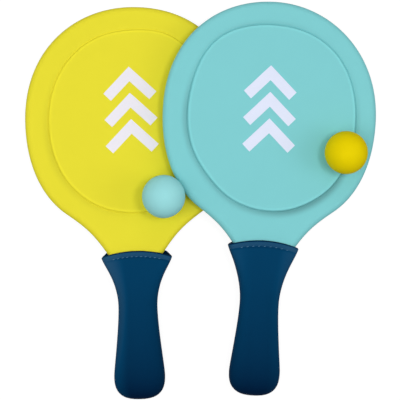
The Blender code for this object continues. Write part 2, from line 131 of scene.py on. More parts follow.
def spots(start, place, scale, detail=2.0, roughness=0.5):
    """Soft random spots from 0 to 1, so many to the metre."""
    return start.node("ShaderNodeTexNoise", {}, {
        "Vector": place, "Scale": scale, "Detail": detail, "Roughness": roughness})


def blend_colors(start, share, first, second):
    """Two colours, plain or wired, mixed by a share from 0 to 1."""
    first, second = (value if isinstance(value, Wire) else (*value, 1.0)
                     for value in (first, second))
    return start.node(
        "ShaderNodeMix", {"data_type": "RGBA"}, {0: share, 6: first, 7: second}, 2)


def bump(start, height, strength, distance):
    """A normal from a height of 0 to 1 that stands for so many metres."""
    return start.node("ShaderNodeBump", {}, {
        "Height": height, "Strength": strength, "Distance": distance})


def wood_finish(name, pale, dark):
    material, start, shader = new_finish(name)
    place = start.node("ShaderNodeTexCoord", {}, {}, "Object")
    along = start.node("ShaderNodeMapping", {}, {
        "Vector": place, "Scale": (GRAIN_ACROSS, GRAIN_ALONG, GRAIN_ACROSS)})
    grain = spots(start, along, 1.0, detail=5.0, roughness=0.6)
    cloudy = spots(start, place, WOOD_CLOUDS)
    feed(shader, Base_Color=blend_colors(start, grain * 0.8 + cloudy * 0.2, pale, dark),
         Roughness=0.62 - grain * 0.12,
         Normal=bump(start, grain, 0.4, GRAIN_DEPTH))
    return material


plywood = wood_finish("birch_plywood", PLY_PALE, PLY_DARK)
beech = wood_finish("beech_cheek", BEECH_PALE, BEECH_DARK)
for node_name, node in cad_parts.items():
    if node_name.endswith("core_board"):
        node.material_slots[0].material = plywood
    if node_name.endswith("cheek"):
        node.material_slots[0].material = beech


# Blade skins. Each face of a blade is one sheet of neoprene foam laminated with a
# fine jersey, heat moulded with a raised oval panel. It is glued to the board and
# folded round the rim, where the front and the back skin meet in a seam.

# place and turn lay a paddle down, and fullness is what its outline gains on the left
# and right. panel is how far the panel sits to the right of the middle. Its edge line
# bulges by an amount, at an angle, fading over so many degrees. Painted shade darkens
# the cloth beside it by at least the first share, over a width, and more at some angles.
PADDLES = {
    "yellow": {
        "place": (-0.065427, 0.077452, 0.008689), "turn": (-1.361, 0.0, 1.35),
        "fullness": (-0.008, 0.026), "panel": 0.0007,
        "cloth": (0.850, 0.762, 0.032), "crease": 0.00035,
        "bulges": ((0.0022, 67, 16),),
        "step_shade": (0.00, 0.0072, ((0.14, 205, 48),)),
    },
    "aqua": {
        "place": (0.066173, 0.080652, 0.017698), "turn": (0.8018, 7.3401, -2.3),
        "fullness": (0.008, -0.026), "panel": 0.0013,
        "cloth": (0.222, 0.638, 0.664), "crease": 0.00066,
        "bulges": ((0.0044, 129, 25), (-0.0026, 225, 19), (0.0013, 277, 20),
                   (0.0010, 315, 15), (0.0010, 45, 25), (0.0006, 178, 18)),
        "step_shade": (0.05, 0.0052, ((0.42, 296, 46), (0.24, 182, 26), (0.14, 224, 26),
                                   (0.09, 95, 30), (0.08, 0, 18))),
    },
}
BLADE_HALF_WIDTH = 0.1029
BLADE_CROWN = 0.1080
SHOULDER_HALF_WIDTH = 0.0650
SHOULDER_DROP = 0.0897
SHOULDER_SLOPE = math.radians(54.4)
NECK_HALF_WIDTH = 0.0293
NECK_DROP = 0.1247
NECK_SLOPE = math.radians(35.0)
NECK_TAIL = 0.0140
TIP_FULLNESS = 0.54
SIDE_FULLNESS = 0.64
FLANK_FULLNESS = 0.45
SHOULDER_FULLNESS = 0.33
THROAT_FULLNESS = 0.41
CROWN_STEPS = 56
FLANK_STEPS = 26
THROAT_STEPS = 28
TAIL_STEPS = 4
CUT_STEPS = 12

PANEL_HALF_WIDTH = 0.0805
PANEL_HALF_HEIGHT = 0.0873
PANEL_DROP = 0.0023
PANEL_SQUARENESS = 2.12
UNDER_SKIN = 0.0028
RIM_TOP = 0.0054
PANEL_TOP = 0.0067
PANEL_CROWN = 0.0003
SEAM_HEIGHT = 0.00015
FOLD_WIDTH = 0.0060
FOLD_SQUARENESS = 2.1
POCKET_INSET = 0.0027
POCKET_TAIL = 0.0040
POCKET_OPENING = 0.0060
SEAM_TUCK = 0.0004
SEAM_TUCK_HEIGHT = 0.0012
SHARP_ANGLE = math.radians(50.0)

# How far from the panel's edge line, and how high above the rim's face, the moulded
# step runs: a low bead, the rounded edge, a narrow groove and a shoulder that fades.
# The third number is how much of the paddle's crease deepens the step there.
PANEL_STEP = (
    (-0.0062, 0.00130, 0.0), (-0.0045, 0.00132, 0.0), (-0.0034, 0.00136, 0.0),
    (-0.0024, 0.00142, 0.0), (-0.0018, 0.00147, 0.0), (-0.0013, 0.00148, 0.0),
    (-0.0009, 0.00143, 0.0), (-0.00065, 0.00132, 0.0), (-0.0004, 0.00112, 0.05),
    (-0.0002, 0.00084, 0.35), (0.0, 0.00060, 0.80), (0.0002, 0.00044, 1.0),
    (0.0004, 0.00036, 1.0), (0.0006, 0.00036, 0.80), (0.0009, 0.00038, 0.25),
    (0.0014, 0.00040, 0.0), (0.0020, 0.00040, 0.0), (0.0029, 0.00036, 0.0),
    (0.0041, 0.00027, 0.0), (0.0055, 0.00017, 0.0), (0.0070, 0.00008, 0.0),
    (0.0085, 0.00002, 0.0), (0.0100, 0.0, 0.0),
)
# The painted shade beside the step widens by this much for each share of its strength, and
# a painted highlight lies on the bead at a place and width.
STEP_SHADE_SPREAD = 0.0085
BEAD_HIGHLIGHT_PLACE = -0.0017
BEAD_HIGHLIGHT_WIDTH = 0.0008
# From the cloth's dye, the pale end gives the painted highlight on the bead, and the deep
# end the painted shade beside the step and the dye's clouds.
CLOTH_DYE_AND_PAINTED_LIGHT_RANGE = (1.10, 0.56)
PANEL_RINGS = (
    0.015, 0.08, 0.16, 0.25, 0.35, 0.45, 0.55, 0.65, 0.74, 0.82, 0.89, 0.95, 1.0)
RIM_RINGS = (0.12, 0.26, 0.42, 0.58, 0.74, 0.88)
FOLD_RINGS = 12
SWELL_SIZE = 34.0
SWELL_HEIGHT = 0.00009
SWELL_ABOVE = 0.9 * RIM_TOP
FRONT_SEED = 1.0
BACK_SEED = 5.0
WALE_PITCH = 0.00062
COURSE_PITCH = 0.00050
LOOP_DEPTH = 0.25
KNIT_DEPTH = 0.00006
DYE_CLOUDS = 22.0
FUZZ_SCALE = 2600.0


def curve_run(start, leave, arrive, end, steps):
    """Points of one Bezier stretch after its start; leave and arrive are its arms."""
    return interpolate_bezier(start, start + leave, end + arrive, end, steps + 1)[1:]


def blade_side(gain):
    """The blade's outline on its right, from the tip to the flat cut below the neck."""
    tip = Vector((0.0, BLADE_CROWN))
    side = Vector((BLADE_HALF_WIDTH, 0.0))
    shoulder = Vector((SHOULDER_HALF_WIDTH, -SHOULDER_DROP))
    neck = Vector((NECK_HALF_WIDTH, -NECK_DROP))
    past_shoulder = Vector((-math.sin(SHOULDER_SLOPE), -math.cos(SHOULDER_SLOPE)))
    past_neck = Vector((-math.sin(NECK_SLOPE), -math.cos(NECK_SLOPE)))
    throat = (neck - shoulder).length * THROAT_FULLNESS
    line = [
        tip,
        *curve_run(tip, Vector((BLADE_HALF_WIDTH * (TIP_FULLNESS + gain), 0.0)),
                   Vector((0.0, BLADE_CROWN * (SIDE_FULLNESS + gain))), side,
                   CROWN_STEPS),
        *curve_run(side, Vector((0.0, -SHOULDER_DROP * FLANK_FULLNESS)),
                   past_shoulder * (-SHOULDER_DROP * SHOULDER_FULLNESS), shoulder,
                   FLANK_STEPS),
        *curve_run(shoulder, past_shoulder * throat, past_neck * -throat, neck,
                   THROAT_STEPS),
    ]
    tail = past_neck * (NECK_TAIL / math.cos(NECK_SLOPE))
    return line + [neck + tail * (step / TAIL_STEPS) for step in range(1, TAIL_STEPS + 1)]


def blade_line(fullness):
    """The blade's closed outline, anticlockwise from its tip."""
    left, right = (blade_side(gain) for gain in fullness)
    left = [Vector((-point.x, point.y)) for point in left]
    cut = [left[-1].lerp(right[-1], step / CUT_STEPS) for step in range(1, CUT_STEPS)]
    return [*left, *cut, *reversed(right[1:])]


def inset(outline, distance):
    """A closed outline with every side moved inwards by one distance."""
    moved = []
    count = len(outline)
    for index, point in enumerate(outline):
        before = (point - outline[index - 1]).normalized()
        after = (outline[(index + 1) % count] - point).normalized()
        inward = Vector((-before.y - after.y, before.x + after.x)).normalized()
        spread = inward.dot(Vector((-before.y, before.x)))
        moved.append(point + inward * (distance / spread))
    return moved


def lobes(way, places):
    """The sum of smooth lobes at one direction; each is an amount, the degrees round at
    which it is largest, and the degrees over which it fades."""
    total = 0.0
    for amount, degrees, fade in places:
        peak = Vector((math.cos(math.radians(degrees)), math.sin(math.radians(degrees))))
        total += amount * math.exp(-(way.angle(peak) / math.radians(fade)) ** 2)
    return total


def panel_line(around, middle, bulges):
    """The panel's oval, one point on the line from its middle to each point given, with
    the places where the mould's step came out a little wide or narrow."""
    points = []
    for point in around:
        way = (point - middle).normalized()
        across = (abs(way.x) / PANEL_HALF_WIDTH) ** PANEL_SQUARENESS
        along = (abs(way.y) / PANEL_HALF_HEIGHT) ** PANEL_SQUARENESS
        reach = (across + along) ** (-1.0 / PANEL_SQUARENESS) + lobes(way, bulges)
        points.append(middle + way * reach)
    return points


def swell(x, y, seed):
    """The glued foam's slight unevenness."""
    return SWELL_HEIGHT * noise.noise(Vector((x * SWELL_SIZE, y * SWELL_SIZE, seed)))


def panel_height(x, y, middle):
    """Height of the panel's slightly crowned face at one point."""
    across, along = (x - middle.x) / PANEL_HALF_WIDTH, (y - middle.y) / PANEL_HALF_HEIGHT
    return PANEL_TOP + PANEL_CROWN * max(1.0 - across ** 2 - along ** 2, 0.0)


def skin_rings(rim, middle, crease, bulges):
    """Rings from the panel's middle to the seam: outline, height and place in the cloth."""
    panel = panel_line(rim, middle, bulges)
    first = inset(panel, -PANEL_STEP[0][0])
    rings = []
    for share in PANEL_RINGS[:-1]:
        line = [middle + (point - middle) * share for point in first]
        rings.append((line, [panel_height(*point, middle) for point in line], line))
    for out, rise, deep in PANEL_STEP:
        line = inset(panel, -out)
        level = RIM_TOP + rise - deep * crease
        levels = [level + panel_height(*point, middle) - PANEL_TOP for point in line]
        rings.append((line, levels, line))
    near = rings[-1][0]
    far = inset(rim, FOLD_WIDTH)
    for share in RIM_RINGS:
        line = [inner.lerp(outer, share) for inner, outer in zip(near, far)]
        rings.append((line, [RIM_TOP] * len(line), line))
    fall = RIM_TOP - SEAM_HEIGHT
    run = 0.0
    last = (FOLD_WIDTH, fall)
    for step in range(FOLD_RINGS + 1):
        angle = math.pi / 2 * (1.0 - step / FOLD_RINGS)
        reach = math.cos(angle) ** (2.0 / FOLD_SQUARENESS)
        level = math.sin(angle) ** (2.0 / FOLD_SQUARENESS)
        tuck = SEAM_TUCK * max(1.0 - level * fall / SEAM_TUCK_HEIGHT, 0.0)
        now = (FOLD_WIDTH * (1.0 - reach) + tuck, fall * level)
        run += math.dist(last, now)
        last = now
        line = inset(rim, now[0])
        unfolded = inset(rim, FOLD_WIDTH - run)
        rings.append((line, [SEAM_HEIGHT + now[1]] * len(line), unfolded))
    return rings


def painted_step_shade(line, middle, out, step_shade):
    """The shade at each point of a ring that lies so far out: painted shade beside the
    step, stronger at some angles, and a painted highlight on the bead along its edge."""
    pale, deep = CLOTH_DYE_AND_PAINTED_LIGHT_RANGE
    least, width, places = step_shade
    bead = math.exp(-((out - BEAD_HIGHLIGHT_PLACE) / BEAD_HIGHLIGHT_WIDTH) ** 2) * (pale - 1.0)
    shades = []
    for point in line:
        most = least + lobes((point - middle).normalized(), places)
        away = min(out / (width + STEP_SHADE_SPREAD * most), 1.0)
        near = 0.5 + 0.5 * math.cos(math.pi * away) if out > 0.0 else 0.0
        shades.append((pale - 1.0 + near * most - bead) / (pale - deep))
    return shades


def woven_piece(name, rings, weave, material):
    """Closed piece through rings of points. weave gives a corner's place in the cloth
    from its ring, its point and the half of the ring that its face is in."""
    count = len(rings[0])
    faces = []
    places = []
    for ring in range(len(rings) - 1):
        for point in range(count):
            half = 0 if point < count // 2 else 1
            corners = ((ring, point), (ring, point + 1),
                       (ring + 1, point + 1), (ring + 1, point))
            faces.append([row * count + column % count for row, column in corners])
            places += [weave(row, column, half) for row, column in corners]
    for ring in (0, len(rings) - 1):
        faces.append([ring * count + point for point in range(count)])
        places += [weave(ring, point, 0) for point in range(count)]
    mesh = bpy.data.meshes.new(name)
    mesh.from_pydata([point for ring in rings for point in ring], [], faces)
    layer = mesh.uv_layers.new(name="weave")
    layer.data.foreach_set("uv", [value for place in places for value in place])
    mesh.materials.append(material)
    face_outwards(mesh)
    return link_piece(name, mesh)


def face_outwards(mesh):
    """Turn every face of a closed mesh outwards and shade it smooth."""
    form = bmesh.new()
    form.from_mesh(mesh)
    bmesh.ops.recalc_face_normals(form, faces=form.faces)
    form.to_mesh(mesh)
    form.free()
    mesh.shade_smooth()


def link_piece(name, mesh):
    piece = bpy.data.objects.new(name, mesh)
    bpy.context.collection.objects.link(piece)
    return piece


def jersey(start, place):
    """Height of the jersey's knit from 0 to 1: upright wales of small slanted loops."""
    split = start.node("ShaderNodeSeparateXYZ", {}, {"Vector": place}, "X")
    upright = Wire(split.tree, split.socket.node.outputs["Y"])
    wale = abs(start.math("FRACT", split * (1.0 / WALE_PITCH)) - 0.5) * 2.0
    course = upright * (1.0 / COURSE_PITCH) + wale * 0.5
    loop = start.math("SINE", course * (2.0 * math.pi))
    return (1.0 - wale * wale) * (1.0 - LOOP_DEPTH + loop * LOOP_DEPTH)


def neoprene_finish(name, pale, deep, hem_and_lit_sides, roughness, gloss, sheen, shade):
    """Jersey faced foam: a fine knit with painted shade in its hollows, slightly cloudy dye
    and a faint soft sheen. The cloth's shade, from 0 to 1, takes it from the pale dye to
    the deep one and carries the painted shade, and below 0 takes it to the paler colour
    of the hem band and of the painted light on a sleeve's sides."""
    material, start, shader = new_finish(name)
    place = start.node("ShaderNodeUVMap", {"uv_map": "weave"}, {})
    toned = start.node("ShaderNodeAttribute", {"attribute_name": "shade"}, {}, "Fac")
    knit = jersey(start, place)
    cloudy = spots(start, place, DYE_CLOUDS, detail=3.0)
    fuzz = spots(start, place, FUZZ_SCALE)
    # Dye clouds and fuzz, and painted shade where the knit is low.
    clouds_and_knit_shade = ((1.0 - cloudy) * shade + (1.0 - knit) * (shade * 0.5)
                + fuzz * (shade * 0.3))
    share = start.math("MINIMUM", toned + clouds_and_knit_shade, 1.0)
    # Below 0 the cloth turns to the paler hem band colour, which also serves as the painted
    # light on a sleeve's sides.
    paler_share = start.math("MAXIMUM", toned * -1.0, 0.0)
    dyed = blend_colors(start, share, pale, deep)
    feed(shader, Base_Color=blend_colors(start, paler_share, dyed, hem_and_lit_sides),
         Roughness=roughness + 0.10 * fuzz - 0.08 * knit,
         Normal=bump(start, knit + fuzz * 0.35, 0.35, KNIT_DEPTH),
         Sheen_Weight=sheen, Sheen_Roughness=0.4, Specular_IOR_Level=gloss)
    return material


def tone(piece, shades):
    """Give each corner of the piece's mesh its shade of the dye, with the painted light and
    shade in it.
    """
    layer = piece.data.attributes.new("shade", "FLOAT", "POINT")
    layer.data.foreach_set("value", shades)


def paddle_matrix(paddle):
    """From the paddle's own axes to the set's frame."""
    turn = Euler([math.radians(angle) for angle in paddle["turn"]]).to_matrix().to_4x4()
    return Matrix.Translation(paddle["place"]) @ turn


def glue_pocket(skin, rim):
    """Hollow a skin where the board lies in it, open at the neck's tail."""
    tail = rim[len(rim) // 2].y
    line = inset(rim, POCKET_INSET)
    for point in line:
        if point.y < tail + POCKET_TAIL:
            point.y -= POCKET_OPENING
    form = bmesh.new()
    low = [form.verts.new((x, y, -UNDER_SKIN)) for x, y in line]
    high = [form.verts.new((x, y, UNDER_SKIN)) for x, y in line]
    form.faces.new(low)
    form.faces.new(high)
    for index in range(len(line)):
        form.faces.new((low[index - 1], low[index], high[index], high[index - 1]))
    mesh = bpy.data.meshes.new("pocket_shape")
    form.to_mesh(mesh)
    form.free()
    face_outwards(mesh)
    cutter = link_piece("pocket_shape", mesh)
    cut = skin.modifiers.new("pocket", "BOOLEAN")
    cut.operation = "DIFFERENCE"
    cut.solver = "EXACT"
    cut.object = cutter
    return cutter


def bake_shape(piece, matrix):
    """Turn a piece with its modifiers into a plain mesh in the set's frame."""
    bpy.context.view_layer.update()
    shape = bpy.data.meshes.new_from_object(
        piece.evaluated_get(bpy.context.evaluated_depsgraph_get()))
    piece.modifiers.clear()
    piece.data = shape
    shape.transform(matrix)
    shape.set_sharp_from_angle(angle=SHARP_ANGLE)


for color_name, paddle in PADDLES.items():
    paddle["matrix"] = paddle_matrix(paddle)
    paddle["middle"] = Vector((paddle["panel"], -PANEL_DROP))
    rim_line = blade_line(paddle["fullness"])
    rings = skin_rings(rim_line, paddle["middle"], paddle["crease"], paddle["bulges"])
    pale, deep = ([value * scale for value in paddle["cloth"]] for scale in CLOTH_DYE_AND_PAINTED_LIGHT_RANGE)
    neoprene = neoprene_finish(
        color_name + "_neoprene_knit", pale, deep, hem_and_lit_sides=pale,
        roughness=0.66, gloss=0.12, sheen=0.03, shade=0.07)
    # Painted shade beside the panel's step and a painted highlight on its bead.
    shades = []
    for index, (line, _, _) in enumerate(rings):
        step = index - len(PANEL_RINGS) + 1
        out = PANEL_STEP[step][0] if 0 <= step < len(PANEL_STEP) else PANEL_STEP[0][0]
        shades += painted_step_shade(line, paddle["middle"], out, paddle["step_shade"])
    for side, side_name, seed in ((1, "front", FRONT_SEED), (-1, "back", BACK_SEED)):
        points = []
        for line, levels, _ in rings:
            lifts = [swell(*point, seed) if level > SWELL_ABOVE else 0.0
                     for point, level in zip(line, levels)]
            points.append([(*point, side * (level + lift))
                           for point, level, lift in zip(line, levels, lifts)])
        skin = woven_piece(
            f"{color_name}_{side_name}_cover", points,
            lambda ring, point, _: rings[ring][2][point % len(rim_line)], neoprene)
        tone(skin, shades)
        cutter = glue_pocket(skin, rim_line)
        bake_shape(skin, paddle["matrix"])
        bpy.data.objects.remove(cutter)
        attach(skin, "root")
        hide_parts(f"{color_name}_{side_name}_skin")


# Chevrons. Three stacked chevrons of white film are heat pressed on each front panel.
# The film is thin enough that the jersey's knit still shows through it, with painted
# shade in its hollows; its edges are cut clean, and the film on the aqua blade is a
# slightly cooler white.

# PRINTS holds where the middle chevron's point lies on each face, and its turn.
PRINTS = {"yellow": (-0.0016, 0.0249, 1.25), "aqua": (-0.0022, 0.0220, 0.7)}
PRINT_WHITES = {"yellow": (0.87, 0.835, 0.91), "aqua": (0.74, 0.79, 0.96)}
CHEVRON_COUNT = 3
CHEVRON_ARM = 0.0355
CHEVRON_BAND = 0.0100
CHEVRON_HALF_ANGLE = math.radians(45.5)
CHEVRON_PITCH = 0.0251
FILM_BOTTOM = 0.00004
FILM_TOP = 0.00018
FILM_CUTS = 14
FILM_CLOUDS = 60.0
FILM_KNIT_DEPTH = 0.00004
FILM_CLOUD_AND_KNIT_SHADE = 0.95


def chevron_corners(number):
    """Outer and inner corners of one chevron, from its left tip over its point."""
    reach = CHEVRON_ARM * math.sin(CHEVRON_HALF_ANGLE)
    fall = CHEVRON_ARM * math.cos(CHEVRON_HALF_ANGLE)
    in_x = CHEVRON_BAND * math.cos(CHEVRON_HALF_ANGLE)
    in_y = CHEVRON_BAND * math.sin(CHEVRON_HALF_ANGLE)
    hollow = CHEVRON_BAND / math.sin(CHEVRON_HALF_ANGLE)
    lift = CHEVRON_PITCH * (1 - number)
    outer = [(-reach, lift - fall), (0.0, lift), (reach, lift - fall)]
    inner = [(in_x - reach, lift - fall - in_y), (0.0, lift - hollow),
             (reach - in_x, lift - fall - in_y)]
    return outer, inner


def print_finish(name, white):
    """White film with the knit showing through it, with painted shade in the knit's
    hollows.
    """
    material, start, shader = new_finish(name)
    place = start.node("ShaderNodeUVMap", {"uv_map": "weave"}, {})
    knit = jersey(start, place)
    cloudy = spots(start, place, FILM_CLOUDS, detail=3.0)
    deep = [value * FILM_CLOUD_AND_KNIT_SHADE for value in white]
    feed(shader, Base_Color=blend_colors(start, cloudy * 0.6 + knit * 0.4, deep, white),
         Roughness=0.52 - 0.10 * knit + 0.05 * cloudy,
         Normal=bump(start, knit, 0.25, FILM_KNIT_DEPTH))
    return material


def film_piece(name, number, printed, middle, material):
    """One chevron of film that lies on the panel's crowned face."""
    place_x, place_y, turn = printed
    turned = Matrix.Rotation(math.radians(turn), 2)
    outer, inner = chevron_corners(number)
    form = bmesh.new()
    outside = [form.verts.new((*(turned @ Vector(corner)), 0.0)) for corner in outer]
    inside = [form.verts.new((*(turned @ Vector(corner)), 0.0)) for corner in inner]
    for index in range(2):
        form.faces.new((outside[index], outside[index + 1],
                        inside[index + 1], inside[index]))
    bmesh.ops.subdivide_edges(form, edges=form.edges, cuts=FILM_CUTS, use_grid_fill=True)
    lower = bmesh.ops.duplicate(form, geom=[*form.verts, *form.edges, *form.faces])
    twins = lower["vert_map"]
    sunk = {item for item in lower["geom"] if isinstance(item, bmesh.types.BMVert)}
    border = [edge for edge in form.edges
              if edge.is_boundary and edge.verts[0] not in sunk]
    for edge in border:
        near, far = edge.verts
        form.faces.new((near, far, twins[far], twins[near]))
    layer = form.loops.layers.uv.new("weave")
    for vertex in form.verts:
        x = place_x + vertex.co.x
        y = place_y + vertex.co.y
        level = FILM_BOTTOM if vertex in sunk else FILM_TOP
        level += panel_height(x, y, middle) + swell(x, y, FRONT_SEED)
        vertex.co = (x, y, level)
    for face in form.faces:
        for corner in face.loops:
            corner[layer].uv = corner.vert.co.xy
    mesh = bpy.data.meshes.new(name)
    form.to_mesh(mesh)
    form.free()
    mesh.materials.append(material)
    face_outwards(mesh)
    return link_piece(name, mesh)


for color_name, printed in PRINTS.items():
    paddle = PADDLES[color_name]
    white_film = print_finish(f"white_film_on_{color_name}", PRINT_WHITES[color_name])
    for number in range(CHEVRON_COUNT):
        film = film_piece(f"{color_name}_print_{number + 1}", number, printed,
                          paddle["middle"], white_film)
        bake_shape(film, paddle["matrix"])
        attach(film, "root")
        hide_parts(f"{color_name}_chevron_{number + 1}")


# Handle sleeves. Each is two panels of navy neoprene sewn together down the sides and
# round the closed end, turned right side out and pulled over the handle. The flared
# mouth is folded in and hemmed, and its back layer stands proud at the corners.

# mouth is how far the top of the hem lies below the blade's widest line, ear how far
# the back layer stands out by the mouth's corners, and the last pair how much painted
# light pales the left and the right side. shift and turn move the handle a little
# against the blade.
SLEEVES = {
    "yellow": {"mouth": 0.1259, "shift": 0.0012, "turn": -0.1,
               "ear": 0.0034, "lit_sides": (1.10, 0.05)},
    "aqua": {"mouth": 0.1189, "shift": -0.0014, "turn": 1.6,
             "ear": 0.0009, "lit_sides": (0.22, 0.45)},
}
# The navy runs from its colour at the mouth to a painted shade that darkens the sleeve
# towards its closed end. The third colour is the paler hem band, also used for the painted
# light on the sides.
NAVY_MOUTH = (0.0013, 0.0515, 0.1310)
NAVY_SHADED_END = (0.0001, 0.0110, 0.0410)
NAVY_HEM_AND_LIT_SIDES = (0.0180, 0.0780, 0.1620)
HEM_SHADE = -0.70
HEM_EDGE = 0.0012
# Painted shade inside the sleeve and along the hem's top edge.
PAINTED_INSIDE_AND_EDGE_SHADE = 0.80
# Painted shade that darkens the sleeve along its length, and more near the closed end.
PAINTED_SHADE_ALONG = 0.58
PAINTED_END_SHADE = 0.42
PAINTED_END_SHADE_POWER = 6
# Painted light on the sleeve's sides starts this far out and weakens where the shade is
# deep.
SIDE_LIGHT_FROM = 0.375
SIDE_LIGHT_LOSS = 0.6
MOUTH_RISE = 0.0057
INNER_FADE = 0.0120
OUTER_FADE = 0.0420
MOUTH_HALF_WIDTH = 0.0341
MOUTH_HALF_DEPTH = 0.0086
WAIST_DROP = 0.1790
WAIST_HALF_WIDTH = 0.0188
WAIST_HALF_DEPTH = 0.0125
BULB_BELOW_WAIST = 0.0655
BULB_HALF_WIDTH = 0.0245
BULB_HALF_DEPTH = 0.0145
MOUTH_ARM = (0.30, 0.28)
WAIST_ARMS = (0.45, 0.33)
BULB_ARM = 0.10
PROFILE_STEPS = 60
END_BELOW_BULB = 0.0227
END_SQUARENESS = 2.7
MOUTH_SQUARENESS = 5.0
GRIP_SQUARENESS = 2.3
SLEEVE_WALL = 0.0026
HEM_ROW = 0.0054
HEM_PUFF = 0.0005
HEM_PULL = 0.0003
HEM_PULL_WIDTH = 0.0010
HEM_DENT = 0.0062
HEM_DENT_WIDTH = 0.0007
# Painted shade in the dent below the hem's stitches.
HEM_DENT_PAINTED_SHADE = 0.25
EAR_START = 0.62
EAR_END = 0.80
EAR_RUN = 0.20
SIDE_SEAM_DEPTH = 0.0005
SIDE_SEAM_WIDTH = 0.0009
SIDE_SEAM_FADE = 0.0120
SLEEVE_POINTS = 144
SLEEVE_SWELL = 0.00016
SLEEVE_SWELL_SHIFT = 0.9
SWELLS_ACROSS = 30.0
SWELLS_ALONG = 22.0
SWELL_SEED = 90.0
HEM_FALLS = (0.0, 0.0003, 0.0008, 0.0015, 0.0023, 0.0031, 0.0039, 0.0046, 0.0051,
             0.0054, 0.0057, 0.0062, 0.0070, 0.0082, 0.0100)
WALL_SHARES = {0.0: 0.5, 0.0003: 0.24, 0.0008: 0.07}
CAP_SHARES = (0.12, 0.25, 0.38, 0.50, 0.61, 0.71, 0.80, 0.87, 0.925, 0.965, 0.99)
INNER_CAP_SHARES = (0.30, 0.55, 0.76, 0.94)
FLARE_RINGS = 16
GRIP_RINGS = 20
INNER_FLARE_RINGS = 12
INNER_GRIP_RINGS = 10


def ease(share):
    """A share from 0 to 1, with a soft start and a soft end."""
    share = min(max(share, 0.0), 1.0)
    return share * share * (3.0 - 2.0 * share)


def handle_profile(mouth, sizes, inwards):
    """The run of half sizes from the mouth over the waist to the bulb."""
    opening, waist, bulb = (size - inwards for size in sizes)
    flare = WAIST_DROP - mouth
    return [
        Vector((mouth, opening)),
        *curve_run(Vector((mouth, opening)),
                   Vector((flare * MOUTH_ARM[0], (waist - opening) * MOUTH_ARM[1])),
                   Vector((-flare * WAIST_ARMS[0], 0.0)), Vector((WAIST_DROP, waist)),
                   PROFILE_STEPS),
        *curve_run(Vector((WAIST_DROP, waist)),
                   Vector((BULB_BELOW_WAIST * WAIST_ARMS[1], 0.0)),
                   Vector((-BULB_BELOW_WAIST * BULB_ARM, 0.0)),
                   Vector((WAIST_DROP + BULB_BELOW_WAIST, bulb)), PROFILE_STEPS),
    ]


def half_size(drop, profile, inwards):
    """Half a width or depth of the handle at one drop."""
    bulb_drop = WAIST_DROP + BULB_BELOW_WAIST
    if drop > bulb_drop:
        share = min((drop - bulb_drop) / (END_BELOW_BULB - inwards), 1.0)
        return profile[-1].y * (1.0 - share ** END_SQUARENESS) ** (1.0 / END_SQUARENESS)
    for near, far in zip(profile, profile[1:]):
        if drop <= far.x:
            share = max((drop - near.x) / (far.x - near.x), 0.0)
            return near.y + (far.y - near.y) * share
    return profile[-1].y


def hem_lift(x, z, ear):
    """How far the hem's edge rises above the mouth's corners."""
    out = min(abs(x) / MOUTH_HALF_WIDTH, 1.0)
    lift = MOUTH_RISE * (1.0 - out * out)
    if z < 0.0:
        lift += (ear * ease((out - EAR_START) / EAR_RUN)
                 * (1.0 - ease((out - EAR_END) / EAR_RUN)))
    return lift


def sleeve_ring(fall, mouth, ear, inner=False):
    """One ring, so far below the mouth's edge, on the sleeve's outside or inside."""
    base = mouth + MOUTH_RISE
    drop = base + fall
    wall = SLEEVE_WALL if inner else 0.0
    half_width = half_size(drop, width_profiles[mouth][inner], wall)
    half_depth = half_size(drop, depth_profiles[mouth][inner], wall)
    if not inner:
        inwards = SLEEVE_WALL * WALL_SHARES.get(fall, 0.0)
        puff = HEM_PUFF * math.sin(math.pi * min(fall / HEM_ROW, 1.0))
        pull = HEM_PULL * math.exp(-((fall - HEM_ROW) / HEM_PULL_WIDTH) ** 2)
        half_width -= inwards
        half_depth += puff - pull - inwards
    share = ease((drop - base) / (WAIST_DROP - base))
    power = MOUTH_SQUARENESS + (GRIP_SQUARENESS - MOUTH_SQUARENESS) * share
    fade = 1.0 - (fall / INNER_FADE if inner else ease((fall - HEM_ROW) / OUTER_FADE))
    ring = []
    for step in range(SLEEVE_POINTS):
        angle = 2.0 * math.pi * step / SLEEVE_POINTS
        across, deep = math.cos(angle), math.sin(angle)
        reach = (abs(across) ** power + abs(deep) ** power) ** (-1.0 / power)
        x, z = half_width * across * reach, half_depth * deep * reach
        if not inner:
            seam = (SIDE_SEAM_DEPTH * math.exp(-(z / SIDE_SEAM_WIDTH) ** 2)
                    * ease(half_width / SIDE_SEAM_FADE))
            lump = SLEEVE_SWELL * (noise.noise(Vector((
                x * SWELLS_ACROSS, drop * SWELLS_ALONG,
                z * SWELLS_ACROSS + mouth * SWELL_SEED))) - SLEEVE_SWELL_SHIFT)
            x += across * lump - math.copysign(seam, across)
            z += deep * lump
        ring.append(Vector((x, hem_lift(x, z, ear) * max(fade, 0.0) - drop, z)))
    return ring


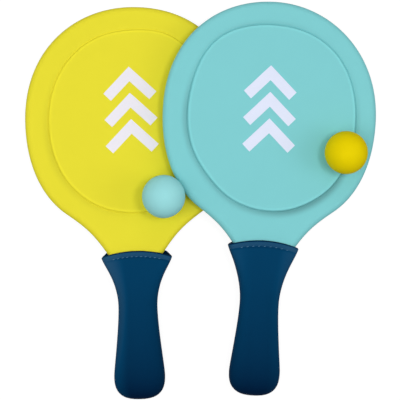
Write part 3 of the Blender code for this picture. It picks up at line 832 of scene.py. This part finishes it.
def sleeve_rings(mouth, ear):
    """Rings from the closed inner end, up to the mouth, and down to the outer end, with
    the shade at each: painted shade inside, along the hem's top edge, in the dent below
    the stitches and more and more towards the closed end, and the paler hem band."""
    base = mouth + MOUTH_RISE
    to_waist = WAIST_DROP - base
    to_bulb = to_waist + BULB_BELOW_WAIST
    start = HEM_FALLS[-1]
    falls = list(HEM_FALLS)
    falls += [start + (to_waist - start) * step / FLARE_RINGS
              for step in range(1, FLARE_RINGS + 1)]
    falls += [to_waist + BULB_BELOW_WAIST * step / GRIP_RINGS
              for step in range(1, GRIP_RINGS + 1)]
    falls += [to_bulb + END_BELOW_BULB * share for share in CAP_SHARES]
    inner_falls = [to_waist * step / INNER_FLARE_RINGS
                   for step in range(INNER_FLARE_RINGS + 1)]
    inner_falls += [to_waist + BULB_BELOW_WAIST * step / INNER_GRIP_RINGS
                    for step in range(1, INNER_GRIP_RINGS + 1)]
    inner_cap = END_BELOW_BULB - SLEEVE_WALL
    inner_falls += [to_bulb + inner_cap * share for share in INNER_CAP_SHARES]
    inside = [sleeve_ring(fall, mouth, ear, inner=True) for fall in inner_falls]
    outside = [sleeve_ring(fall, mouth, ear) for fall in falls]
    # The inside gets painted shade.
    shades = [PAINTED_INSIDE_AND_EDGE_SHADE] * len(inside)
    for fall in falls:
        along = fall / falls[-1]
        # Painted shade that darkens the sleeve more and more towards its closed end.
        shade_along = PAINTED_SHADE_ALONG * along + PAINTED_END_SHADE * along ** PAINTED_END_SHADE_POWER
        # Painted shade in the dent below the stitches, and along the hem's top edge.
        dent = HEM_DENT_PAINTED_SHADE * math.exp(-((fall - HEM_DENT) / HEM_DENT_WIDTH) ** 2)
        hem = PAINTED_INSIDE_AND_EDGE_SHADE if fall < HEM_EDGE else HEM_SHADE
        shades.append(hem if fall < HEM_ROW else shade_along + dent)
    return [*reversed(inside), *outside], shades


def painted_side_light(rings, shades, lit_sides):
    """Each corner's shade: paler on the left and the right side with painted light, and
    less so where the painted shade along the sleeve is deep."""
    toned = []
    for ring, shade in zip(rings, shades):
        widest = max(point.x for point in ring)
        for point in ring:
            side_light = lit_sides[0 if point.x < 0.0 else 1]
            side_light *= 1.0 - SIDE_LIGHT_LOSS * max(shade, 0.0)
            out = abs(point.x) / widest
            toned.append(shade - side_light * ease((out - SIDE_LIGHT_FROM) / (1.0 - SIDE_LIGHT_FROM)))
    return toned


def sleeve_weave(rings):
    """Each corner's place in the cloth: how far round the ring it is from the middle of
    its panel, and how far along the sleeve."""
    tables = []
    for ring in rings:
        run = [0.0]
        for point in range(SLEEVE_POINTS):
            after = ring[(point + 1) % SLEEVE_POINTS]
            run.append(run[-1] + (after - ring[point]).length)
        tables.append(run)

    def place(ring, point, half):
        middle = SLEEVE_POINTS // 4 + half * SLEEVE_POINTS // 2
        along = rings[ring][point % SLEEVE_POINTS].y
        return tables[ring][point] - tables[ring][middle], along
    return place


def handle_turn(shift, turn):
    """The handle's small shift and turn against the blade, about the neck."""
    neck = Matrix.Translation((shift, -NECK_DROP, 0.0))
    return neck @ Matrix.Rotation(-math.radians(turn), 4, "Z") @ Matrix.Translation(
        (0.0, NECK_DROP, 0.0))


WIDTHS = (MOUTH_HALF_WIDTH, WAIST_HALF_WIDTH, BULB_HALF_WIDTH)
DEPTHS = (MOUTH_HALF_DEPTH, WAIST_HALF_DEPTH, BULB_HALF_DEPTH)
WALLS = (0.0, SLEEVE_WALL)
width_profiles = {}
depth_profiles = {}
navy_neoprene = neoprene_finish(
    "navy_neoprene_knit", NAVY_MOUTH, NAVY_SHADED_END, hem_and_lit_sides=NAVY_HEM_AND_LIT_SIDES,
    roughness=0.62, gloss=0.01, sheen=0.02, shade=0.10)
for color_name, grip in SLEEVES.items():
    mouth = grip["mouth"]
    base = mouth + MOUTH_RISE
    width_profiles[mouth] = [handle_profile(base, WIDTHS, wall) for wall in WALLS]
    depth_profiles[mouth] = [handle_profile(base, DEPTHS, wall) for wall in WALLS]
    tube, shades = sleeve_rings(mouth, grip["ear"])
    turned = handle_turn(grip["shift"], grip["turn"])
    grip["matrix"] = PADDLES[color_name]["matrix"] @ turned
    sleeve = woven_piece(
        color_name + "_grip_sleeve", tube, sleeve_weave(tube), navy_neoprene)
    tone(sleeve, painted_side_light(tube, shades, grip["lit_sides"]))
    bake_shape(sleeve, grip["matrix"])
    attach(sleeve, "root")
    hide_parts(color_name + "_handle_sleeve")


# Hem stitches. One row of pale blue thread holds the folded hem on each layer of the
# sleeve. The stitches are short, lie a little aslant and sink into the foam.
THREAD = (0.085, 0.220, 0.370)
STITCH_PITCHES = {"yellow": 0.0042, "aqua": 0.0052}
STITCH_LENGTH = 0.0023
THREAD_WIDTH = 0.00060
STITCH_SLANT = math.radians(14.0)
STITCHED_SHARE = 0.67
STITCH_PROUD = 0.25
THREAD_PLY = 3200.0
THREAD_PLY_DEPTH = 0.00004
THREAD_PLY_SHADE = 0.75


def stitch_rows(mouth):
    """The points of the front and the back row, and the edges that join them."""
    ring = sleeve_ring(HEM_ROW, mouth, 0.0)
    points = []
    edges = []
    for side in (1, -1):
        start = len(points)
        row = [point for point in ring
               if point.z * side > 0 and abs(point.x) < MOUTH_HALF_WIDTH * STITCHED_SHARE]
        row.sort(key=lambda point: point.x)
        proud = Vector((0.0, 0.0, side * THREAD_WIDTH * STITCH_PROUD))
        points += [point + proud for point in row]
        edges += [(index, index + 1) for index in range(start, len(points) - 1)]
    return points, edges


def stitch_tree(material):
    """Stitches of one length, so far apart along every row of the mesh."""
    tree = bpy.data.node_groups.new("hem_stitches", "GeometryNodeTree")
    sockets = {}
    for name, kind in (("Rows", "Geometry"), ("Pitch", "Float"), ("Length", "Float"),
                       ("Thread", "Float"), ("Slant", "Float")):
        made = tree.interface.new_socket(
            name=name, in_out="INPUT", socket_type="NodeSocket" + kind)
        sockets[name] = made.identifier
    tree.interface.new_socket(
        name="Stitches", in_out="OUTPUT", socket_type="NodeSocketGeometry")
    start = Wire(tree)
    given = tree.nodes.new("NodeGroupInput")
    pitch, length, thread, slant = (
        Wire(tree, given.outputs[name]) for name in ("Pitch", "Length", "Thread", "Slant"))
    rows = Wire(tree, given.outputs["Rows"])
    path = start.node("GeometryNodeMeshToCurve", {}, {"Mesh": rows})
    marks = start.node("GeometryNodeResampleCurve", {"mode": "LENGTH"},
                       {"Curve": path, "Length": pitch})
    grain = start.node("GeometryNodeMeshIcoSphere", {},
                       {"Radius": 0.5, "Subdivisions": 2})
    size = start.node("ShaderNodeCombineXYZ", {},
                      {"X": length, "Y": thread, "Z": thread})
    tilt = start.node("ShaderNodeCombineXYZ", {}, {"Z": slant})
    stitch = start.node("GeometryNodeTransform", {},
                        {"Geometry": grain, "Scale": size, "Rotation": tilt})
    tangent = start.node("GeometryNodeInputTangent", {}, {})
    turn = start.node("FunctionNodeAlignRotationToVector", {"axis": "X"},
                      {"Vector": tangent})
    laid = start.node("GeometryNodeInstanceOnPoints", {},
                      {"Points": marks, "Instance": stitch, "Rotation": turn})
    whole = start.node("GeometryNodeRealizeInstances", {}, {"Geometry": laid})
    dyed = start.node("GeometryNodeSetMaterial", {},
                      {"Geometry": whole, "Material": material})
    result = tree.nodes.new("NodeGroupOutput")
    tree.links.new(dyed.socket, result.inputs["Stitches"])
    return tree, sockets


def thread_finish():
    """Spun thread, with painted shade between its plies."""
    material, start, shader = new_finish("pale_blue_thread")
    place = start.node("ShaderNodeTexCoord", {}, {}, "Object")
    ply = spots(start, place, THREAD_PLY, detail=3.0)
    deep = [value * THREAD_PLY_SHADE for value in THREAD]
    feed(shader, Base_Color=blend_colors(start, ply, deep, THREAD),
         Roughness=0.55 + ply * 0.1,
         Normal=bump(start, ply, 0.4, THREAD_PLY_DEPTH), Specular_IOR_Level=0.1)
    return material


thread = thread_finish()
stitches_tree, stitch_inputs = stitch_tree(thread)
for color_name, grip in SLEEVES.items():
    points, edges = stitch_rows(grip["mouth"])
    row_mesh = bpy.data.meshes.new(color_name + "_hem_rows")
    row_mesh.from_pydata(points, edges, [])
    stitches = link_piece(color_name + "_hem_stitches", row_mesh)
    sewn = stitches.modifiers.new("stitches", "NODES")
    sewn.node_group = stitches_tree
    for name, value in (("Pitch", STITCH_PITCHES[color_name]), ("Length", STITCH_LENGTH),
                        ("Thread", THREAD_WIDTH), ("Slant", STITCH_SLANT)):
        sewn[stitch_inputs[name]] = value
    bake_shape(stitches, grip["matrix"])
    stitches.data.shade_smooth()
    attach(stitches, "root")


# Balls. Each is moulded from solid rubber foam in two half moulds, which leaves a fine
# parting line round it, and comes out of the mould with a matt, closed skin.
BALLS = {
    "aqua": {"rubber": (0.330, 0.730, 0.750), "roll": (14.0, 62.0)},
    "yellow": {"rubber": (0.810, 0.632, 0.0005), "roll": (-12.0, 71.0)},
}
RUBBER_CLOUD_AND_PORE_SHADE_RANGE = (0.93, 1.04)
RUBBER_CLOUDS = 60.0
PORE_SCALE = 1500.0
PORE_DEPTH = 0.00008
BALL_CUTS = 31
PARTING_HEIGHT = 0.00007
PARTING_WIDTH = 0.00035


def rubber_finish(name, color):
    """Matt moulded rubber: fine pores with painted shade in them, and slightly cloudy
    colour.
    """
    material, start, shader = new_finish(name)
    place = start.node("ShaderNodeTexCoord", {}, {}, "Object")
    cloudy = spots(start, place, RUBBER_CLOUDS, detail=3.0)
    pores = spots(start, place, PORE_SCALE, detail=3.0, roughness=0.7)
    deep, pale = ([min(value * scale, 1.0) for value in color] for scale in RUBBER_CLOUD_AND_PORE_SHADE_RANGE)
    feed(shader, Base_Color=blend_colors(start, cloudy * 0.7 + pores * 0.3, deep, pale),
         Roughness=0.58 + pores * 0.12,
         Normal=bump(start, pores, 0.25, PORE_DEPTH), Specular_IOR_Level=0.03)
    return material


def ball_piece(name, centre, radius, roll, material):
    """A round ball from an evenly divided cube, with its parting line."""
    form = bmesh.new()
    bmesh.ops.create_cube(form, size=2.0)
    bmesh.ops.subdivide_edges(form, edges=form.edges, cuts=BALL_CUTS, use_grid_fill=True)
    rolled = Euler((math.radians(roll[0]), math.radians(roll[1]), 0.0)).to_matrix()
    pole = rolled @ Vector((0, 0, 1))
    for vertex in form.verts:
        x, y, z = vertex.co
        even = Vector((
            x * math.sqrt(max(1 - y * y / 2 - z * z / 2 + y * y * z * z / 3, 0.0)),
            y * math.sqrt(max(1 - z * z / 2 - x * x / 2 + z * z * x * x / 3, 0.0)),
            z * math.sqrt(max(1 - x * x / 2 - y * y / 2 + x * x * y * y / 3, 0.0)),
        ))
        off = even.dot(pole) * radius
        line = PARTING_HEIGHT * math.exp(-(off / PARTING_WIDTH) ** 2)
        vertex.co = centre + even * (radius - PARTING_HEIGHT + line)
    mesh = bpy.data.meshes.new(name)
    form.to_mesh(mesh)
    form.free()
    mesh.materials.append(material)
    face_outwards(mesh)
    return link_piece(name, mesh)


for color_name, ball in BALLS.items():
    low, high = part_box(color_name + "_ball")
    piece = ball_piece(
        color_name + "_rubber_ball", (low + high) / 2, (high.z - low.z) / 2, ball["roll"],
        rubber_finish(color_name + "_rubber_skin", ball["rubber"]))
    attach(piece, "root")
    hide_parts(color_name + "_ball")


# Table, lamps and camera. The set lies on a plain white table under two softboxes, a
# small one on the right and a large one on the left, with weaker ones at each side and
# beyond the blades. The camera hangs straight above it.
FLOOR_REACH = 3.0
FLOOR_GREY = 0.17
FLOOR_WHITE = 0.89
FLOOR_CLOUDS = 300.0
FLOOR_FAINT = 0.01
CAMERA_HEIGHT = 1.30
CAMERA_X = -0.0007
CAMERA_Y = 0.0002
VIEW_WIDTH = 0.386
SENSOR = 36.0
WORLD_LIGHT = 0.365
# Where each softbox hangs, its side in metres and its power in watts.
SOFTBOXES = {
    "key_softbox": ((0.47, 0.11, 1.55), 0.35, 6.2),
    "top_softbox": ((-0.45, -0.20, 1.50), 0.90, 6.2),
    "left_softbox": ((-0.80, 0.10, 0.70), 0.70, 1.4),
    "right_softbox": ((0.85, -0.05, 0.60), 0.50, 1.5),
    "far_softbox": ((0.0, 0.95, 0.70), 0.60, 1.0),
}


def floor_finish():
    """White where the camera looks at it, with the set's soft shadow kept."""
    material, start, shader = new_finish("white_table")
    feed(shader, Base_Color=(FLOOR_GREY, FLOOR_GREY, FLOOR_GREY, 1.0), Roughness=0.9,
         Specular_IOR_Level=0.0)
    place = start.node("ShaderNodeTexCoord", {}, {}, "Object")
    rays = start.node("ShaderNodeLightPath", {}, {}, "Is Camera Ray")
    outputs = rays.socket.node.outputs
    glossy = Wire(start.tree, outputs["Is Glossy Ray"])
    through = Wire(start.tree, outputs["Is Transmission Ray"])
    seen = start.math("MINIMUM", rays + glossy + through, 1.0)
    faint = spots(start, place, FLOOR_CLOUDS) * FLOOR_FAINT
    light = start.node("ShaderNodeEmission", {}, {
        "Color": (1.0, 1.0, 1.0, 1.0), "Strength": seen * (FLOOR_WHITE + faint)})
    both = start.node("ShaderNodeAddShader", {}, {
        0: Wire(start.tree, shader.outputs[0]), 1: light})
    output = start.tree.nodes["Material Output"]
    start.tree.links.new(both.socket, output.inputs["Surface"])
    return material


table_mesh = bpy.data.meshes.new("white_table")
corners = ((-1, -1), (1, -1), (1, 1), (-1, 1))
table_mesh.from_pydata(
    [(x * FLOOR_REACH, y * FLOOR_REACH, 0.0) for x, y in corners], [], [(0, 1, 2, 3)])
table_mesh.materials.append(floor_finish())
table = link_piece("white_table", table_mesh)

world = bpy.data.worlds.new("studio")
world.use_nodes = True
bpy.context.scene.world = world
air = Wire(world.node_tree)
rays = air.node("ShaderNodeLightPath", {}, {}, "Is Camera Ray")
background = world.node_tree.nodes["Background"]
background.inputs["Color"].default_value = (1.0, 1.0, 1.0, 1.0)
level = WORLD_LIGHT + rays * (1.0 - WORLD_LIGHT)
world.node_tree.links.new(level.socket, background.inputs["Strength"])

for name, (place, size, power) in SOFTBOXES.items():
    lamp = bpy.data.lights.new(name, "AREA")
    lamp.shape = "SQUARE"
    lamp.size = size
    lamp.energy = power
    holder = bpy.data.objects.new(name, lamp)
    holder.location = place
    holder.rotation_euler = (-Vector(place)).to_track_quat("-Z", "Y").to_euler()
    bpy.context.collection.objects.link(holder)

camera = bpy.data.cameras.new("overhead_camera")
camera.sensor_width = SENSOR
camera.lens = SENSOR * CAMERA_HEIGHT / VIEW_WIDTH
camera_holder = bpy.data.objects.new("overhead_camera", camera)
camera_holder.location = (CAMERA_X, CAMERA_Y, CAMERA_HEIGHT)
bpy.context.collection.objects.link(camera_holder)
bpy.context.scene.camera = camera_holder
bpy.context.scene.view_settings.view_transform = "Standard"
